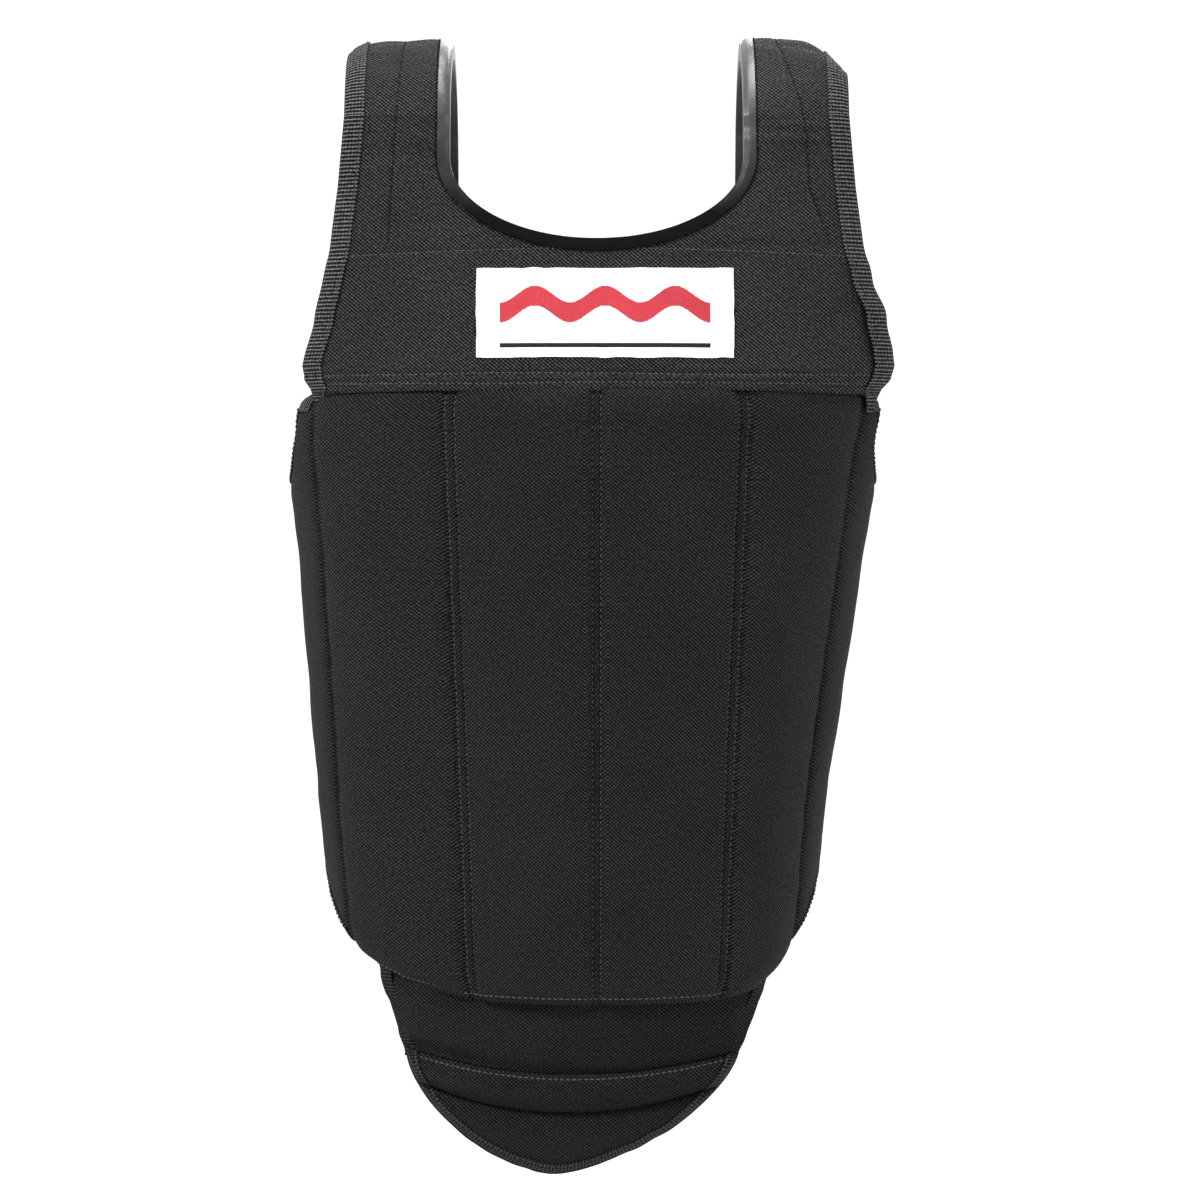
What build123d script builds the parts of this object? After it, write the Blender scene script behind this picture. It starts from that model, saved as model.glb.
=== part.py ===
"""A padded martial arts chest protector, shaped as it is when worn.

The wearer faces -Y. +Z is up and +X is the wearer's left. The origin lies between the
crowns of the two shoulder straps, at the height of their undersides, where the vest
hangs on the shoulders. All dimensions are in millimetres.

Every panel is a layer of one torso surface: an ellipse at each level, lofted between
levels, and grown outwards by the height of the layer. Outlines then cut each panel out
of its layer, the way a pattern is cut from cloth.
"""

import os
from math import cos, radians, sin, sqrt

from build123d import *

os.makedirs("parts", exist_ok=True)

# Heights of the seams
CROWN_Z = 0.0
STRAP_SEAM_Z = -41.0
HEM_Z = -204.0
WAIST_Z = -571.0
FLAP_TOP_Z = -610.0
FLAP_MID_Z = -638.0
FLAP_END_Z = -675.0

# Groin flap: half width at its shoulders, and how far it hangs towards the wearer's right
FLAP_HALF_WIDTH = 99.0
FLAP_SHOULDER_Z = -602.0
FLEX_FOOT_Z = -600.0
FLAP_LEAN = -15.0
FLAP_TIP_LEAN = -12.0

# Torso levels: height, half width and half depth on the wearer's side
YOKE_LEVELS = [(STRAP_SEAM_Z, 230.0, 73.0), (HEM_Z, 190.0, 116.0)]
BODY_LEVELS = [(HEM_Z, 155.0, 108.0), (WAIST_Z, 124.0, 92.0)]
FLAP_LEVELS = [(-540.0, 141.0, 93.4), (-690.0, 132.0, 60.0)]

# Layers, as heights above the wearer's side
CLOTH = 1.2
LAYER_GAP = 0.3
YOKE_THICKNESS = 12.0
PANEL_THICKNESS = 22.0
FLAP_THICKNESS = 20.0
SEAM_GAP = 6.0

# Shoulder straps
STRAP_RADIUS = 68.0
STRAP_INNER_X = 89.0
STRAP_OUTER_X = 150.0

# Openings and edges
NECK_RADIUS_Z = 51.0
NECK_TOP_Z = -66.0
BACK_NECK_TOP_Z = -84.0
BACK_YOKE_END_Z = -200.0
WING_TOP_Z = -252.0

# Angles round the torso from the front, in degrees
CHANNEL_SEAM = 38.7
WING_SEAM = 73.0
WING_END = 112.0
RIGHT_BAND_START = 112.9
LEFT_BAND_START = 113.6
BAND_OVERLAP = 14.0

# Folded binding tape
TAPE = 1.2
TAPE_PROUD = 1.5
WEBBING_FLANGE = 11.0
NECK_FLANGE = 8.0

# Closure bands
BAND_WIDTH = 60.0
BAND_THICKNESS = 3.0
BAND_CENTRES = {"upper": -310.0, "lower": -435.0}
RIGHT_BAND_HEIGHT = 6.0
TOUCH_TAPE = 1.5
SPINE_WIDTH = 50.0

# Woven patch on the chest
PATCH_SIZE = (152.0, 53.0)
PATCH_CENTRE = (5.0, -160.0)

REACH = 260.0


def sections(levels, height):
    """The ellipses of the torso surface at each level, grown outwards by height."""
    faces = []
    for level_z, half_width, half_depth in levels:
        with BuildSketch(Plane.XY.offset(level_z)) as section:
            Ellipse(half_width + height, half_depth + height)
        faces.append(section.sketch)
    return faces


def layer(levels, low, high):
    """Adds the space between two heights over the torso surface to the open part."""
    loft(sections(levels, high), ruled=True)
    loft(sections(levels, low), ruled=True, mode=Mode.SUBTRACT)


def keep_front(outline):
    """Keeps what the outline covers in front of the wearer."""
    extrude(outline.sketch, amount=REACH, mode=Mode.INTERSECT)


def keep_back(outline):
    """Keeps what the outline covers behind the wearer."""
    extrude(outline.sketch, amount=-REACH, mode=Mode.INTERSECT)


def wedge(start, end, low_z=FLAP_END_Z, high_z=CROWN_Z):
    """A solid wedge about the vertical axis, between two angles from the front."""
    middle = (start + end) / 2
    corners = [
        (REACH * sin(radians(a)), -REACH * cos(radians(a))) for a in (start, middle, end)
    ]
    with BuildPart() as solid:
        with BuildSketch(Plane.XY.offset(low_z)):
            Polygon((0, 0), *corners, align=None)
        extrude(amount=high_z - low_z)
    return solid.part


def seam_slot(angle):
    """A flat slot along one seam, where the cloth layers are sewn together."""
    with BuildPart() as slot:
        with BuildSketch(Plane.XY.offset(FLAP_END_Z)):
            with Locations(Location((0, 0, 0), (0, 0, angle - 90))):
                Rectangle(REACH, SEAM_GAP, align=(Align.MIN, Align.CENTER))
        extrude(amount=-FLAP_END_Z)
    return slot.part


def neck_hole(grow, top_z=NECK_TOP_Z):
    """The scoop of the neckline, cut from or added to the open sketch."""
    half_width = STRAP_INNER_X - grow
    with Locations((0, top_z)):
        Ellipse(half_width, NECK_RADIUS_Z - grow)
        Rectangle(2 * half_width, REACH, align=(Align.CENTER, Align.MIN))


def armhole_side(inset):
    """The sheet inside the two armhole edges, moved in by inset, in the open sketch."""
    with BuildLine() as edges:
        Spline((150 - inset, STRAP_SEAM_Z), (159 - inset, -125), (178 - inset, HEM_Z))
        Spline((-150 + inset, STRAP_SEAM_Z), (-159 + inset, -125), (-178 + inset, HEM_Z))
        Line((-150 + inset, STRAP_SEAM_Z), (150 - inset, STRAP_SEAM_Z))
        Line((-178 + inset, HEM_Z), (178 - inset, HEM_Z))
    make_face(edges.edges())


def save(part, name):
    """Labels one finished piece and writes it to its own file."""
    part.label = name
    export_step(part, f"parts/{name}.step")


# Outlines seen from the front -------------------------------------------------------

with BuildSketch(Plane.XZ) as neck_scoop:
    neck_hole(0)

with BuildSketch(Plane.XZ) as yoke_outline:
    armhole_side(0)
    add(neck_scoop.sketch_local, mode=Mode.SUBTRACT)

with BuildSketch(Plane.XZ) as yoke_foam_outline:
    armhole_side(3)
    with BuildSketch(Plane.XZ, mode=Mode.PRIVATE) as wide_scoop:
        neck_hole(-3)
    add(wide_scoop.sketch_local, mode=Mode.SUBTRACT)
    with Locations((0, HEM_Z)):
        Rectangle(2 * REACH, 3, align=(Align.CENTER, Align.MIN), mode=Mode.SUBTRACT)

with BuildSketch(Plane.XZ) as panel_outline:
    with BuildLine():
        Polyline(
            (-178, HEM_Z - 1),
            (-178, -520),
            (-137, -548),
            (-77, WAIST_Z),
            (77, WAIST_Z),
            (137, -548),
            (178, -520),
            (178, HEM_Z - 1),
            close=True,
        )
    make_face()

with BuildSketch(Plane.XZ) as flex_outline:
    with BuildLine():
        Polyline(
            (FLAP_LEAN - FLAP_HALF_WIDTH, FLEX_FOOT_Z),
            (-130, -553),
            (-77, WAIST_Z - 1),
            (77, WAIST_Z - 1),
            (118, -557),
            (FLAP_LEAN + FLAP_HALF_WIDTH, FLEX_FOOT_Z),
        )
        ThreePointArc(
            (FLAP_LEAN + FLAP_HALF_WIDTH, FLEX_FOOT_Z),
            (FLAP_LEAN, FLAP_TOP_Z),
            (FLAP_LEAN - FLAP_HALF_WIDTH, FLEX_FOOT_Z),
        )
    make_face()

FLAP_EDGE = [
    (FLAP_HALF_WIDTH, FLAP_SHOULDER_Z),
    (81.0, -632.0),
    (51.0, -659.0),
    (0.0, FLAP_END_Z),
]


def lean(x, z):
    """Moves a point of the flap sideways, more towards its tip, as it hangs askew."""
    share = (FLAP_SHOULDER_Z - z) / (FLAP_SHOULDER_Z - FLAP_END_Z)
    return (x + FLAP_LEAN + FLAP_TIP_LEAN * share, z)


def flap_face(grow):
    """The groin flap seen from the front, with its edge moved out by grow."""
    wider = 1 + grow / FLAP_EDGE[0][0]
    longer = 1 + grow / (FLAP_SHOULDER_Z - FLAP_END_Z)
    left = [(x * wider, FLAP_SHOULDER_Z + (z - FLAP_SHOULDER_Z) * longer) for x, z in FLAP_EDGE]
    right = [(-x, z) for x, z in left[-2::-1]]
    outline = [lean(x, z) for x, z in (*left, *right)]
    with BuildLine() as edges:
        ThreePointArc(outline[0], (FLAP_LEAN, FLAP_TOP_Z - 2), outline[-1])
        Spline(*outline)
    make_face(edges.edges())


with BuildSketch(Plane.XZ) as flap_outline:
    flap_face(0)

# Outlines seen from the wearer's side -----------------------------------------------

WING_CORNER_Z = HEM_Z - 4
WING_BACK_Y = 120.0
WING_FRONT_Y = -100.0
SIDE_FOOT_Z = -484.0


def wing_side(grow):
    """The wing seen from the side, with its top and foot moved out by grow."""
    corner = 0.7 * grow
    with BuildLine() as edges:
        Line((WING_FRONT_Y, WING_CORNER_Z), (-38 + grow, WING_CORNER_Z))
        Spline(
            (-38 + grow, WING_CORNER_Z),
            (-28 + corner, -238 + corner),
            (2, WING_TOP_Z + grow),
            tangents=((0, -1), (1, 0)),
        )
        Polyline(
            (2, WING_TOP_Z + grow),
            (WING_BACK_Y, WING_TOP_Z + grow),
            (WING_BACK_Y, SIDE_FOOT_Z - grow),
            (60, SIDE_FOOT_Z - grow),
        )
        Spline(
            (60, SIDE_FOOT_Z - grow),
            (0, -500 - grow),
            (-36 + corner, -548 - corner),
        )
        Polyline(
            (-36 + corner, -548 - corner),
            (WING_FRONT_Y, -575 - grow),
            (WING_FRONT_Y, WING_CORNER_Z),
        )
    make_face(edges.edges())


# Yoke over the chest ----------------------------------------------------------------

with BuildPart() as yoke_lining:
    layer(YOKE_LEVELS, 0, CLOTH)
    keep_front(yoke_outline)

with BuildPart() as yoke_foam:
    layer(YOKE_LEVELS, CLOTH + LAYER_GAP, YOKE_THICKNESS - CLOTH - LAYER_GAP)
    keep_front(yoke_foam_outline)

with BuildPart() as yoke_cover:
    layer(YOKE_LEVELS, YOKE_THICKNESS - CLOTH, YOKE_THICKNESS)
    keep_front(yoke_outline)

with BuildPart() as chest_patch:
    layer(YOKE_LEVELS, YOKE_THICKNESS + LAYER_GAP, YOKE_THICKNESS + LAYER_GAP + 0.8)
    with BuildSketch(Plane.XZ):
        with Locations(PATCH_CENTRE):
            Rectangle(*PATCH_SIZE)
    extrude(amount=REACH, mode=Mode.INTERSECT)

for name, piece in (
    ("yoke_lining", yoke_lining),
    ("yoke_foam", yoke_foam),
    ("yoke_cover", yoke_cover),
    ("chest_patch", chest_patch),
):
    save(piece.part, name)

# Shoulder straps --------------------------------------------------------------------


def strap_layer(low, high, from_x, to_x):
    """One layer of the strap that arches over the wearer's left shoulder."""
    with BuildPart() as arch:
        with BuildSketch(Plane.YZ.offset(from_x)):
            with Locations((0, CROWN_Z - STRAP_RADIUS)):
                Circle(STRAP_RADIUS + high)
                Circle(STRAP_RADIUS + low, mode=Mode.SUBTRACT)
            with Locations((0, STRAP_SEAM_Z + LAYER_GAP)):
                Rectangle(2 * REACH, REACH, align=(Align.CENTER, Align.MIN), mode=Mode.INTERSECT)
        extrude(amount=to_x - from_x)
    return arch.part


STRAP_LAYERS = {
    "strap_lining": (0, CLOTH, 0),
    "strap_foam": (CLOTH + LAYER_GAP, YOKE_THICKNESS - CLOTH - LAYER_GAP, 3),
    "strap_cover": (YOKE_THICKNESS - CLOTH, YOKE_THICKNESS, 0),
}
for name, (low, high, inset) in STRAP_LAYERS.items():
    left = strap_layer(low, high, STRAP_INNER_X + inset, STRAP_OUTER_X - inset)
    save(left, f"left_{name}")
    save(mirror(left, about=Plane.YZ), f"right_{name}")

# Back yoke and spine strap ----------------------------------------------------------

with BuildSketch(Plane.XZ) as back_scoop:
    neck_hole(0, BACK_NECK_TOP_Z)


def back_side(inset):
    """The sheet inside the two edges of the back yoke, in the open sketch."""
    with BuildLine() as edges:
        Spline((150 - inset, STRAP_SEAM_Z), (132 - inset, -125), (70 - inset, BACK_YOKE_END_Z))
        Spline((-150 + inset, STRAP_SEAM_Z), (-132 + inset, -125), (-70 + inset, BACK_YOKE_END_Z))
        Line((-150 + inset, STRAP_SEAM_Z), (150 - inset, STRAP_SEAM_Z))
        Line((-70 + inset, BACK_YOKE_END_Z), (70 - inset, BACK_YOKE_END_Z))
    make_face(edges.edges())


with BuildSketch(Plane.XZ) as back_outline:
    back_side(0)
    add(back_scoop.sketch_local, mode=Mode.SUBTRACT)

with BuildSketch(Plane.XZ) as back_foam_outline:
    back_side(3)
    with BuildSketch(Plane.XZ, mode=Mode.PRIVATE) as wide_back_scoop:
        neck_hole(-3, BACK_NECK_TOP_Z)
    add(wide_back_scoop.sketch_local, mode=Mode.SUBTRACT)
    with Locations((0, BACK_YOKE_END_Z)):
        Rectangle(2 * REACH, 3, align=(Align.CENTER, Align.MIN), mode=Mode.SUBTRACT)

for name, low, high, outline in (
    ("back_yoke_lining", 0, CLOTH, back_outline),
    (
        "back_yoke_foam",
        CLOTH + LAYER_GAP,
        YOKE_THICKNESS - CLOTH - LAYER_GAP,
        back_foam_outline,
    ),
    ("back_yoke_cover", YOKE_THICKNESS - CLOTH, YOKE_THICKNESS, back_outline),
):
    with BuildPart() as back_layer:
        layer(YOKE_LEVELS, low, high)
        keep_back(outline)
    save(back_layer.part, name)

spine_foot_z = BAND_CENTRES["lower"] - BAND_WIDTH / 2
SPINE_LEVELS = [(BACK_YOKE_END_Z - 0.5, 155.3, 117.5), (-270.0, 149.4, 105.1), BODY_LEVELS[1]]
with BuildPart() as spine_strap:
    layer(SPINE_LEVELS, 2, 2 + BAND_THICKNESS)
    with BuildSketch(Plane.XZ):
        with Locations((0, BACK_YOKE_END_Z - 0.5)):
            Rectangle(
                SPINE_WIDTH,
                BACK_YOKE_END_Z - spine_foot_z,
                align=(Align.CENTER, Align.MAX),
            )
    extrude(amount=-REACH, mode=Mode.INTERSECT)
save(spine_strap.part, "spine_strap")

# Front panel: four channels between the wing seams -----------------------------------

front_wedge = wedge(-WING_SEAM, WING_SEAM)

with BuildPart() as channel_foams:
    layer(BODY_LEVELS, CLOTH + LAYER_GAP, PANEL_THICKNESS - CLOTH - LAYER_GAP)
    keep_front(panel_outline)
    add(front_wedge, mode=Mode.INTERSECT)
    for seam in (-WING_SEAM, -CHANNEL_SEAM, 0, CHANNEL_SEAM, WING_SEAM):
        add(seam_slot(seam), mode=Mode.SUBTRACT)

CHANNEL_NAMES = ("right_side", "right_middle", "left_middle", "left_side")
for name, foam in zip(CHANNEL_NAMES, channel_foams.solids().sort_by(Axis.X)):
    save(foam, f"channel_foam_{name}")

for name, low, high in (
    ("front_lining", 0, CLOTH),
    ("front_cover", PANEL_THICKNESS - CLOTH, PANEL_THICKNESS),
):
    with BuildPart() as front_sheet:
        layer(BODY_LEVELS, low, high)
        keep_front(panel_outline)
        add(wedge(-WING_SEAM + 0.3, WING_SEAM - 0.3), mode=Mode.INTERSECT)
    save(front_sheet.part, name)

# Side wings --------------------------------------------------------------------------


def wing_block(grow, start_angle, end_angle, low, high):
    """One layer of the left wing between two angles, with its outline grown."""
    with BuildSketch(Plane.YZ) as side:
        wing_side(grow)
    with BuildPart() as block:
        layer(BODY_LEVELS, low, high)
        extrude(side.sketch, amount=REACH, mode=Mode.INTERSECT)
        add(wedge(start_angle, end_angle), mode=Mode.INTERSECT)
    return block.part


WING_LAYERS = {
    "wing_lining": (0, CLOTH, 0.3, 0),
    "wing_foam": (CLOTH + LAYER_GAP, PANEL_THICKNESS - CLOTH - LAYER_GAP, 2, 1.5),
    "wing_cover": (PANEL_THICKNESS - CLOTH, PANEL_THICKNESS, 0.3, 0),
}
for name, (low, high, seam_inset, end_inset) in WING_LAYERS.items():
    wing = wing_block(0, WING_SEAM + seam_inset, WING_END - end_inset, low, high)
    save(wing, f"left_{name}")
    save(mirror(wing, about=Plane.YZ), f"right_{name}")

# Flex band and groin flap ------------------------------------------------------------

with BuildPart() as flex_band:
    layer(FLAP_LEVELS, 8, 12)
    keep_front(flex_outline)
save(flex_band.part, "flex_band")

with BuildPart() as roll_foams:
    layer(FLAP_LEVELS, CLOTH + LAYER_GAP, FLAP_THICKNESS - CLOTH - LAYER_GAP)
    keep_front(flap_outline)
    with BuildSketch(Plane.XZ):
        with BuildLine():
            ThreePointArc((130, FLAP_MID_Z + 10), (0, FLAP_MID_Z + 2), (-130, FLAP_MID_Z + 10))
            ThreePointArc((130, FLAP_MID_Z + 7), (0, FLAP_MID_Z - 1), (-130, FLAP_MID_Z + 7))
            Line((130, FLAP_MID_Z + 10), (130, FLAP_MID_Z + 7))
            Line((-130, FLAP_MID_Z + 10), (-130, FLAP_MID_Z + 7))
        make_face()
    extrude(amount=REACH, mode=Mode.SUBTRACT)
for name, foam in zip(("lower", "upper"), roll_foams.solids().sort_by(Axis.Z)):
    save(foam, f"flap_roll_foam_{name}")

for name, low, high in (
    ("flap_lining", 0, CLOTH),
    ("flap_cover", FLAP_THICKNESS - CLOTH, FLAP_THICKNESS),
):
    with BuildPart() as flap_sheet:
        layer(FLAP_LEVELS, low, high)
        keep_front(flap_outline)
    save(flap_sheet.part, name)

# Closure bands over the back ---------------------------------------------------------


def band(start, end, low, high, centre_z, width):
    """One flat band round the back, between two angles from the front."""
    with BuildPart() as strip:
        layer(BODY_LEVELS, low, high)
        top = centre_z + width / 2
        add(wedge(start, end, top - width, top), mode=Mode.INTERSECT)
    return strip.part


loop_low = RIGHT_BAND_HEIGHT + BAND_THICKNESS
hook_low = loop_low + TOUCH_TAPE + LAYER_GAP
left_low = hook_low + TOUCH_TAPE
touch_width = BAND_WIDTH - 6
for level, centre_z in BAND_CENTRES.items():
    pieces = {
        f"right_band_{level}": (
            RIGHT_BAND_START,
            180 + BAND_OVERLAP,
            RIGHT_BAND_HEIGHT,
            loop_low,
            BAND_WIDTH,
        ),
        f"loop_tape_{level}": (
            180 - BAND_OVERLAP + 2,
            180 + BAND_OVERLAP - 2,
            loop_low,
            loop_low + TOUCH_TAPE,
            touch_width,
        ),
    }
    for name, (start, end, low, high, width) in pieces.items():
        mirrored = band(start, end, low, high, centre_z, width)
        save(mirror(mirrored, about=Plane.YZ), name)
    left_high = left_low + BAND_THICKNESS
    band_end = 180 + BAND_OVERLAP
    left_band = band(LEFT_BAND_START, band_end, left_low, left_high, centre_z, BAND_WIDTH)
    save(left_band, f"left_band_{level}")
    hook_start = 180 - BAND_OVERLAP + 2
    hook_tape = band(hook_start, band_end - 2, hook_low, left_low, centre_z, touch_width)
    save(hook_tape, f"hook_tape_{level}")

# Folded binding tapes -----------------------------------------------------------------


def folded_tape(levels, thickness, strip, body, front=True):
    """A tape folded round an edge: the strip with the panel's own room cut out of it."""
    direction = REACH if front else -REACH
    with BuildPart() as room:
        layer(levels, -0.1, thickness + 0.1)
        extrude(body, amount=direction, mode=Mode.INTERSECT)
    with BuildPart() as tape:
        layer(levels, -TAPE, thickness + TAPE)
        extrude(strip, amount=direction, mode=Mode.INTERSECT)
        add(room.part, mode=Mode.SUBTRACT)
    return tape.part


def strap_tape(edge_x, flange, outwards):
    """The same fold along one edge of the left shoulder strap."""
    inner_x = edge_x - outwards * flange
    outer_x = edge_x + outwards * TAPE_PROUD
    clear_x = edge_x + outwards * 0.2
    low_x, high_x = sorted((inner_x, outer_x))
    room_low, room_high = sorted((inner_x - outwards, clear_x))
    with BuildPart() as tape:
        add(strap_layer(-TAPE, YOKE_THICKNESS + TAPE, low_x, high_x))
        add(
            strap_layer(-0.1, YOKE_THICKNESS + 0.1, room_low, room_high),
            mode=Mode.SUBTRACT,
        )
    return tape.part


def scoop_strip(top_z, foot_z):
    """The strip of tape along one neckline, below the strap seam."""
    with BuildSketch(Plane.XZ, mode=Mode.PRIVATE) as wide:
        neck_hole(-NECK_FLANGE, top_z)
    with BuildSketch(Plane.XZ, mode=Mode.PRIVATE) as narrow:
        neck_hole(TAPE_PROUD, top_z)
    with BuildSketch(Plane.XZ) as strip:
        add(wide.sketch_local)
        add(narrow.sketch_local, mode=Mode.SUBTRACT)
        with Locations((0, STRAP_SEAM_Z)):
            Rectangle(2 * REACH, -foot_z, align=(Align.CENTER, Align.MAX), mode=Mode.INTERSECT)
    return strip.sketch


def edge_strip(side, flange):
    """The strips of tape along the outer edges that a side function draws."""
    with BuildSketch(Plane.XZ) as strip:
        side(-TAPE_PROUD)
        with BuildSketch(Plane.XZ, mode=Mode.PRIVATE) as inside:
            side(flange)
        add(inside.sketch_local, mode=Mode.SUBTRACT)
    return strip.sketch


with BuildSketch(Plane.XZ) as yoke_room:
    armhole_side(-0.2)
    with BuildSketch(Plane.XZ, mode=Mode.PRIVATE) as tight_scoop:
        neck_hole(0.2)
    add(tight_scoop.sketch_local, mode=Mode.SUBTRACT)

with BuildSketch(Plane.XZ) as back_room:
    back_side(-0.2)
    with BuildSketch(Plane.XZ, mode=Mode.PRIVATE) as tight_back_scoop:
        neck_hole(0.2, BACK_NECK_TOP_Z)
    add(tight_back_scoop.sketch_local, mode=Mode.SUBTRACT)

neck_strap_tape = strap_tape(STRAP_INNER_X, NECK_FLANGE, -1)
arm_strap_tape = strap_tape(STRAP_OUTER_X, WEBBING_FLANGE, 1)
front_neck_tape = folded_tape(
    YOKE_LEVELS, YOKE_THICKNESS, scoop_strip(NECK_TOP_Z, HEM_Z), yoke_room.sketch
)
back_neck_tape = folded_tape(
    YOKE_LEVELS,
    YOKE_THICKNESS,
    scoop_strip(BACK_NECK_TOP_Z, HEM_Z),
    back_room.sketch,
    front=False,
)
front_arm_tapes = folded_tape(
    YOKE_LEVELS, YOKE_THICKNESS, edge_strip(armhole_side, WEBBING_FLANGE), yoke_room.sketch
)
back_arm_tapes = folded_tape(
    YOKE_LEVELS,
    YOKE_THICKNESS,
    edge_strip(back_side, WEBBING_FLANGE),
    back_room.sketch,
    front=False,
)

save(
    Compound(
        [
            *front_neck_tape.solids(),
            *back_neck_tape.solids(),
            *neck_strap_tape.solids(),
            *mirror(neck_strap_tape, about=Plane.YZ).solids(),
        ]
    ),
    "neck_binding",
)


def side_solids(part, sign):
    """The solids of a part on one side of the wearer: 1 is left and -1 is right."""
    return [s for s in part.solids() if s.center().X * sign > 0]


for side_name, sign in (("left", 1), ("right", -1)):
    strap = arm_strap_tape if sign > 0 else mirror(arm_strap_tape, about=Plane.YZ)
    pieces = [
        *side_solids(front_arm_tapes, sign),
        *side_solids(back_arm_tapes, sign),
        *strap.solids(),
    ]
    save(Compound(pieces), f"{side_name}_armhole_binding")

# Webbing along the top, end and foot of each wing
tape_start = WING_SEAM + 1
tape_high = PANEL_THICKNESS + TAPE
wing_envelope = wing_block(TAPE_PROUD, tape_start, WING_END + 0.6, -TAPE, tape_high)
wing_room = wing_block(0.2, tape_start - 1, WING_END + 0.1, -0.1, PANEL_THICKNESS + 0.1)
wing_core = wing_block(-WEBBING_FLANGE, tape_start - 1, WING_END - 4.2, -9, tape_high + 9)
with BuildPart() as wing_tape:
    add(wing_envelope)
    add(wing_room, mode=Mode.SUBTRACT)
    add(wing_core, mode=Mode.SUBTRACT)
save(wing_tape.part, "left_wing_binding")
save(mirror(wing_tape.part, about=Plane.YZ), "right_wing_binding")

# Webbing round the foot of the flap
with BuildSketch(Plane.XZ) as flap_tape_strip:
    flap_face(TAPE_PROUD)
    with BuildSketch(Plane.XZ, mode=Mode.PRIVATE) as flap_inside:
        flap_face(-WEBBING_FLANGE)
    add(flap_inside.sketch_local, mode=Mode.SUBTRACT)
    with BuildSketch(Plane.XZ, mode=Mode.PRIVATE) as flap_top:
        with BuildLine():
            ThreePointArc((140, -606), (0, FLAP_TOP_Z - 16), (-140, -606))
            Polyline((-140, -606), (-140, -500), (140, -500), (140, -606))
        make_face()
    add(flap_top.sketch_local, mode=Mode.SUBTRACT)

with BuildSketch(Plane.XZ) as flap_room:
    flap_face(0.2)

save(
    folded_tape(FLAP_LEVELS, FLAP_THICKNESS, flap_tape_strip.sketch, flap_room.sketch),
    "flap_binding",
)

# The wing hinge line, for the record: along the seam on the outer cloth
for level_z, half_width, half_depth in BODY_LEVELS:
    a, b = half_width + PANEL_THICKNESS, half_depth + PANEL_THICKNESS
    slope = radians(WING_SEAM)
    distance = a * b / sqrt((b * sin(slope)) ** 2 + (a * cos(slope)) ** 2)
    print("wing seam", round(distance * sin(slope), 2), round(-distance * cos(slope), 2), level_z)
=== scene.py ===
"""The looks of the padded chest protector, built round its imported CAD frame.

Every visible piece is drawn on the same torso surface as the CAD: an ellipse at each
height, grown outwards by the height of the layer. Lengths are in millimetres until a
mesh is made, when they become metres. The wearer faces -Y and +X is the wearer's left.
"""

import math
from functools import partial

import bpy
import numpy as np
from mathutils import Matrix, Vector


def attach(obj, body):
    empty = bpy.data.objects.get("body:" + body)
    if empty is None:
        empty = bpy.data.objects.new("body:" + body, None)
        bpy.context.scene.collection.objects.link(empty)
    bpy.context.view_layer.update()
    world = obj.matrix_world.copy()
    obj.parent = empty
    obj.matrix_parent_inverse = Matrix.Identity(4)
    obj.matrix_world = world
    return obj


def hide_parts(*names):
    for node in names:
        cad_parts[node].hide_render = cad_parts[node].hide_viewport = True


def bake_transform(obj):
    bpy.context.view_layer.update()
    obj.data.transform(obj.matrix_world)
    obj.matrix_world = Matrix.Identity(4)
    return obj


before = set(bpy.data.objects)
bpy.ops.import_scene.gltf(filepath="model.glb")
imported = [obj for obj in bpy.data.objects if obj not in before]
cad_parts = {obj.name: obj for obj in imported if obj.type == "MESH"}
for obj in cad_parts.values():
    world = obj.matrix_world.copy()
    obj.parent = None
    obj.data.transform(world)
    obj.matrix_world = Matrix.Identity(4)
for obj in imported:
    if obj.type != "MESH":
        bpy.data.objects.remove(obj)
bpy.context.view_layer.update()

MM = 0.001
SIDES = (("left", 1), ("right", -1))

# Torso levels: height, half width and half depth on the wearer's side. They follow the
# CAD, but the yoke and the front panel meet at the hem, where the cloth is sewn together.
YOKE = (
    (-215.0, 183.0, 114.0),
    (-204.0, 184.0, 113.5),
    (-150.0, 203.0, 101.0),
    (-41.0, 230.0, 73.0),
)
BODY = (
    (-571.0, 124.0, 92.0),
    (-400.0, 141.0, 99.5),
    (-300.0, 153.0, 103.8),
    (-204.0, 166.0, 108.0),
    (-190.0, 167.0, 108.0),
)
FLAP = ((-690.0, 132.0, 60.0), (-620.0, 134.5, 79.5), (-540.0, 141.0, 93.4))

# Yoke and straps
STRAP_SEAM_Z = -41.0
HEM_Z = -204.0
HEM_ROWS_Z = (-196.0, -201.5)
FACING_ROW_Z = -121.5
FACING_FOOT_Z = -118.0
STRAP_RADIUS = 68.0
STRAP_INNER_X = 89.0
STRAP_OUTER_X = 150.0
NECK_DEPTH = 51.0
FRONT_NECK_Z = -66.0
BACK_NECK_Z = -84.0
BACK_END_Z = -200.0
YOKE_LAP_Z = -207.0
YOKE_THICK = 12.0

# The lining's thickness, and the height of the canvas piece's underside, just clear of it
CLOTH = 1.2
CANVAS_UNDER = CLOTH + 0.3

# Front panel and wings. Seams are angles round the torso from the front, in degrees.
PANEL_THICK = 22.0
CHANNEL_SEAM = 38.7
WING_SEAM = 73.0
WING_END = 112.0
SEAMS = (-WING_SEAM, -CHANNEL_SEAM, 0.0, CHANNEL_SEAM, WING_SEAM)
SEAM_HALF = 2.9
GRAIN_FLIP = 3.2
# About how many millimetres of panel, or of wing, one degree is
PANEL_DEGREE = 2.2
WING_DEGREE = 2.4

# Groin flap
FLAP_THICK = 20.0
FLAP_HALF = 99.0
FLAP_TOP_Z = -602.0
FLAP_DROP = 73.0
FLAP_ROUND = 1.55
FLAP_VALLEY_Z = -638.0


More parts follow.
